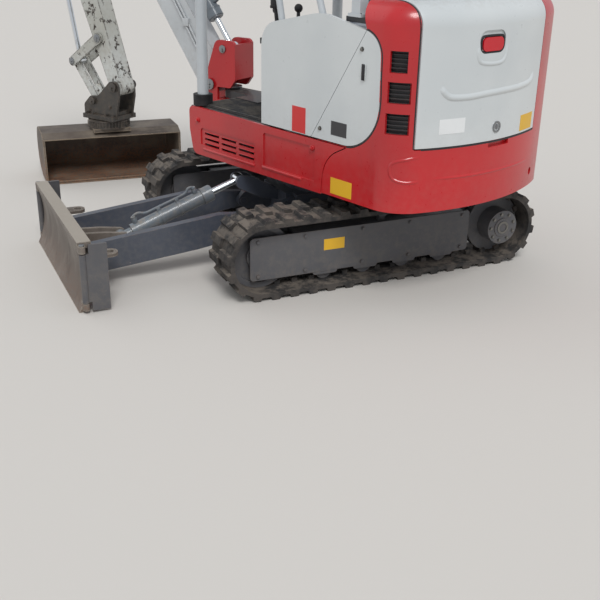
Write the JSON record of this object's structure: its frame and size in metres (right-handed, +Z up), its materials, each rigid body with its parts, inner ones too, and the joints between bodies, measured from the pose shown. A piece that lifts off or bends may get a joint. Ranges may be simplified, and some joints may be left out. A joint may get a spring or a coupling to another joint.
{
  "type": "mini excavator",
  "caption": "Compact tracked excavator with a canopy, dozer blade, swinging boom, arm and a turning grading bucket.",
  "frame": {"origin": "middle of the whole outline at rest, on the ground", "axes": "+X ahead over the blade, +Y to the left of the tracks, +Z up"},
  "size_m": [2.14, 2.9404, 2.35],
  "materials": {
    "charcoal": "satin",
    "rubber": "dusty",
    "red": "satin",
    "pale_grey": "gloss",
    "boom_grey": "worn",
    "steel_worn": "worn",
    "black_steel": "satin",
    "chrome": "polished",
    "floor_black": "matt",
    "seat_vinyl": "satin",
    "engine": "cast",
    "lamp_red": "clear",
    "rusty": "rusty"
  },
  "bodies": {
    "car_body": {"car_body": "charcoal"},
    "track_left": {"belt_left": "rubber", "track_frame_left": "charcoal", "idler_left": "charcoal", "rollers_left": "charcoal", "track_drive_left": "charcoal"},
    "track_right": {"belt_right": "rubber", "track_frame_right": "charcoal", "idler_right": "charcoal", "rollers_right": "charcoal", "track_drive_right": "charcoal"},
    "blade": {"blade": "steel_worn", "blade_arms": "charcoal"},
    "wing_left": {"wing_left": "charcoal"},
    "wing_right": {"wing_right": "charcoal"},
    "blade_barrel": {"blade_barrel": "boom_grey"},
    "blade_rod": {"blade_rod": "chrome"},
    "door_left": {"door_left": "pale_grey"},
    "hood": {"hood": "pale_grey", "rear_lamp": "lamp_red"},
    "swing_post": {"swing_post": "red"},
    "swing_barrel": {"swing_barrel": "boom_grey"},
    "swing_rod": {"swing_rod": "chrome"},
    "boom": {"boom": "boom_grey"},
    "boom_barrel": {"boom_barrel": "boom_grey"},
    "boom_rod": {"boom_rod": "chrome"},
    "arm": {"arm": "boom_grey"},
    "arm_barrel": {"arm_barrel": "boom_grey"},
    "arm_rod": {"arm_rod": "chrome"},
    "bucket_barrel": {"bucket_barrel": "boom_grey"},
    "bucket_rod": {"bucket_rod": "chrome"},
    "side_links": {"side_links": "black_steel"},
    "bucket_link": {"bucket_link": "black_steel"},
    "hitch": {"hitch": "black_steel"},
    "bucket": {"turning_head": "black_steel", "bucket": "rusty"},
    "house": {"deck": "charcoal", "floor": "floor_black", "skirt_left": "red", "skirt_right": "red", "counterweight": "red", "pillar_left": "red", "pillar_right": "red", "panel_left": "pale_grey", "panel_right": "pale_grey", "cover_right": "pale_grey", "bulkhead": "charcoal", "engine": "engine", "seat_box": "black_steel", "seat": "seat_vinyl", "pedal_console": "floor_black", "armrests": "floor_black", "canopy_posts": "pale_grey", "canopy_roof": "pale_grey", "grab_rail": "black_steel"}
  },
  "joints": [
    {"name": "slew", "type": "hinge", "parent": "car_body", "child": "house", "pos_m": [-0.291, 0.47023, 0.405], "axis": [0, 0, 1], "continuous": true},
    {"name": "track_left_slide", "type": "slide", "parent": "car_body", "child": "track_left", "axis": [0, 1, 0], "range_m": [-0.16, 0]},
    {"name": "track_right_slide", "type": "slide", "parent": "car_body", "child": "track_right", "axis": [0, -1, 0], "range_m": [-0.16, 0]},
    {"name": "blade_lift", "type": "hinge", "parent": "car_body", "child": "blade", "pos_m": [0.109, 0.47023, 0.2], "axis": [0, -1, 0], "range_deg": [-18, 18]},
    {"name": "wing_left_fold", "type": "hinge", "parent": "blade", "child": "wing_left", "pos_m": [1.041, 0.95453, 0.15], "axis": [0, 0, -1], "range_deg": [0, 90]},
    {"name": "wing_right_fold", "type": "hinge", "parent": "blade", "child": "wing_right", "pos_m": [1.041, -0.01407, 0.15], "axis": [0, 0, 1], "range_deg": [0, 90]},
    {"name": "blade_barrel_tilt", "type": "hinge", "parent": "blade", "child": "blade_barrel", "pos_m": [0.764, 0.47023, 0.14], "axis": [0, -1, 0], "range_deg": [-0.67, 0.67]},
    {"name": "blade_rod_slide", "type": "slide", "parent": "blade_barrel", "child": "blade_rod", "axis": [-0.9377, 0, 0.3476], "range_m": [-0.05336, 0.05336]},
    {"name": "door_left_open", "type": "hinge", "parent": "house", "child": "door_left", "pos_m": [0.05896, 1.00491, 0.668], "axis": [0.1596, -0.5221, -0.8378], "range_deg": [0, 80]},
    {"name": "hood_lift", "type": "hinge", "parent": "house", "child": "hood", "pos_m": [-0.49274, 1.13008, 1.226], "axis": [0.9563, 0.2924, 0], "range_deg": [0, 65]},
    {"name": "boom_swing", "type": "hinge", "parent": "house", "child": "swing_post", "pos_m": [-0.07172, -0.247, 0.52], "axis": [0, 0, 1], "range_deg": [-65, 45]},
    {"name": "swing_barrel_tilt", "type": "hinge", "parent": "house", "child": "swing_barrel", "pos_m": [-0.52515, 0.27839, 0.575], "axis": [0, 0, 1], "range_deg": [-2.81, 3.97]},
    {"name": "swing_rod_slide", "type": "slide", "parent": "swing_barrel", "child": "swing_rod", "axis": [0.5016, -0.8651, 0], "range_m": [-0.1275, 0.08858]},
    {"name": "boom_lift", "type": "hinge", "parent": "swing_post", "child": "boom", "pos_m": [-0.01873, -0.33181, 0.665], "axis": [0.848, 0.5299, 0], "range_deg": [-11, 72]},
    {"name": "boom_barrel_tilt", "type": "hinge", "parent": "boom", "child": "boom_barrel", "pos_m": [0.11796, -0.55056, 1.33394], "axis": [-0.848, -0.5299, 0], "range_deg": [-0.38, 0.2275]},
    {"name": "boom_rod_slide", "type": "slide", "parent": "boom_barrel", "child": "boom_rod", "axis": [-0.3081, 0.4931, -0.8136], "range_m": [-0.03853, 0.24667]},
    {"name": "arm_reach", "type": "hinge", "parent": "boom", "child": "arm", "pos_m": [0.57266, -1.27823, 1.749], "axis": [-0.848, -0.5299, 0], "range_deg": [-4, 108]},
    {"name": "arm_barrel_tilt", "type": "hinge", "parent": "boom", "child": "arm_barrel", "pos_m": [0.15433, -0.60876, 1.54764], "axis": [-0.848, -0.5299, 0], "range_deg": [-0.49, 8.08]},
    {"name": "arm_rod_slide", "type": "slide", "parent": "arm_barrel", "child": "arm_rod", "axis": [0.4869, -0.7792, 0.3947], "range_m": [-0.3738, 0.01481]},
    {"name": "bucket_tip", "type": "hinge", "parent": "arm", "child": "hitch", "pos_m": [0.36811, -0.95088, 0.56], "axis": [-0.848, -0.5299, 0], "range_deg": [-30, 66]},
    {"name": "bucket_barrel_tilt", "type": "hinge", "parent": "arm", "child": "bucket_barrel", "pos_m": [0.63731, -1.38169, 1.632], "axis": [-0.848, -0.5299, 0], "range_deg": [-1.4, 2.83]},
    {"name": "bucket_rod_slide", "type": "slide", "parent": "bucket_barrel", "child": "bucket_rod", "axis": [-0.0984, 0.1574, -0.9826], "range_m": [-0.19323, 0.08838]},
    {"name": "side_links_tilt", "type": "hinge", "parent": "arm", "child": "side_links", "pos_m": [0.42587, -1.04332, 0.828], "axis": [-0.848, -0.5299, 0], "range_deg": [-20.13, 44.04]},
    {"name": "bucket_link_tilt", "type": "hinge", "parent": "side_links", "child": "bucket_link", "pos_m": [0.54192, -1.22904, 0.679], "axis": [-0.848, -0.5299, 0], "range_deg": [-53.63, 24.49]},
    {"name": "bucket_turn", "type": "hinge", "parent": "hitch", "child": "bucket", "pos_m": [0.43435, -1.05689, 0.34], "axis": [0, 0, 1], "continuous": true}
  ],
  "couplings": [
    {"joint": "blade_barrel_tilt", "follows": "blade_lift", "ratio": 0.025863},
    {"joint": "blade_rod_slide", "follows": "blade_lift", "m_per_rad": -0.16666},
    {"joint": "swing_barrel_tilt", "follows": "boom_swing", "ratio": -0.057955},
    {"joint": "swing_rod_slide", "follows": "boom_swing", "m_per_rad": 0.11151},
    {"joint": "boom_barrel_tilt", "follows": "boom_lift", "ratio": -0.0025},
    {"joint": "boom_rod_slide", "follows": "boom_lift", "m_per_rad": 0.1955},
    {"joint": "arm_barrel_tilt", "follows": "arm_reach", "ratio": 0.072946},
    {"joint": "arm_rod_slide", "follows": "arm_reach", "m_per_rad": -0.19778},
    {"joint": "bucket_barrel_tilt", "follows": "bucket_tip", "ratio": 0.039856},
    {"joint": "bucket_rod_slide", "follows": "bucket_tip", "m_per_rad": -0.16688},
    {"joint": "side_links_tilt", "follows": "bucket_tip", "ratio": 0.66422},
    {"joint": "bucket_link_tilt", "follows": "bucket_tip", "ratio": -0.80961}
  ]
}
